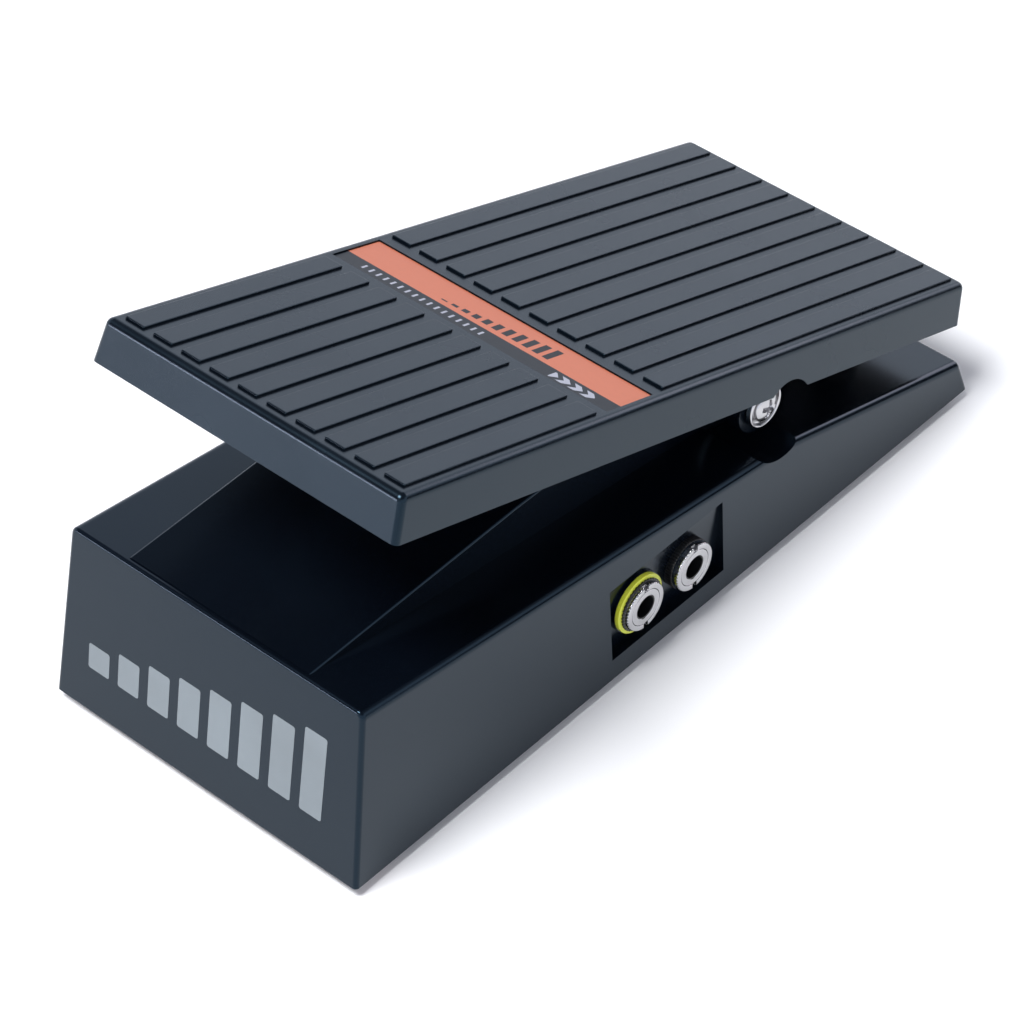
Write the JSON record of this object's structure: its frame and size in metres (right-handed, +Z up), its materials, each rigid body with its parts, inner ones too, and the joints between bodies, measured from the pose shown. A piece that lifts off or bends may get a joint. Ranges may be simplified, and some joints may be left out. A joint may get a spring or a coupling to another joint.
{
  "type": "volume pedal",
  "caption": "Wedge-shaped floor volume pedal: a ribbed rocking treadle drives a geared potentiometer in a case with two 6.35 mm jack sockets in its side.",
  "frame": {"origin": "on the floor, under the middle of the case", "axes": "+Z up; +Y towards the heel end, -Y towards the tall toe end; +X towards the side with the jacks"},
  "size_m": [0.1073, 0.25, 0.114],
  "materials": {
    "case_plastic": "satin moulded, dark slate",
    "tread_plastic": "fine matt texture, slate grey",
    "plate_steel": "semi-matt black powder coat",
    "zinc_steel": "zinc plated",
    "nickel": "bright nickel plate",
    "shaft_steel": "ground",
    "foot_rubber": "matt",
    "stop_rubber": "matt",
    "acetal": "natural acetal",
    "label_print": "printed polycarbonate, salmon orange with a dark band",
    "pot_metal": "zinc alloy can, satin",
    "phenolic": "phenolic laminate",
    "tin": "tinned",
    "bracket_steel": "zinc plated sheet",
    "jack_plastic": "black nylon",
    "tag_plastic": "yellow-green",
    "board": "green solder mask",
    "header_plastic": "off-white nylon",
    "resistor": "lacquered",
    "wire_pvc": "pvc sleeve"
  },
  "bodies": {
    "base": {"upper_case": "case_plastic", "raised_cover": "case_plastic", "bottom_plate": "plate_steel", "case_screws": "zinc_steel", "rubber_feet": "foot_rubber", "pivot_bushes": "acetal", "friction_washers": "acetal", "pot_can": "pot_metal", "pot_lugs": "tin", "pot_washer": "nickel", "pot_nut": "nickel", "pot_bracket": "bracket_steel", "bracket_screws": "zinc_steel", "jack_bodies": "jack_plastic", "jack_sleeves": "nickel", "jack_springs": "tin", "jack_nuts": "nickel", "jack_tag": "tag_plastic", "circuit_board": "board", "board_header": "header_plastic", "board_resistors": "resistor", "solder_joints": "tin", "pot_wires": "wire_pvc"},
    "treadle_body": {"treadle": "tread_plastic", "label_plate": "label_print", "toe_bumpers": "stop_rubber", "heel_bumpers": "stop_rubber", "pivot_shaft": "shaft_steel", "pivot_washers": "nickel", "pivot_screws": "nickel", "sector_gear": "acetal", "sector_screws": "zinc_steel"},
    "pot_rotor": {"pinion": "acetal", "pot_shaft": "shaft_steel"}
  },
  "joints": [
    {"name": "treadle_tilt", "type": "hinge", "parent": "base", "child": "treadle_body", "pos_m": [0, 0.043, 0.0452], "axis": [1, 0, 0], "range_deg": [0, 16.5]},
    {"name": "pot_spin", "type": "hinge", "parent": "base", "child": "pot_rotor", "pos_m": [0, -0.02075, 0.02812], "axis": [1, 0, 0], "range_deg": [-165, 0]}
  ],
  "couplings": [
    {"joint": "pot_spin", "follows": "treadle_tilt", "ratio": -10}
  ]
}
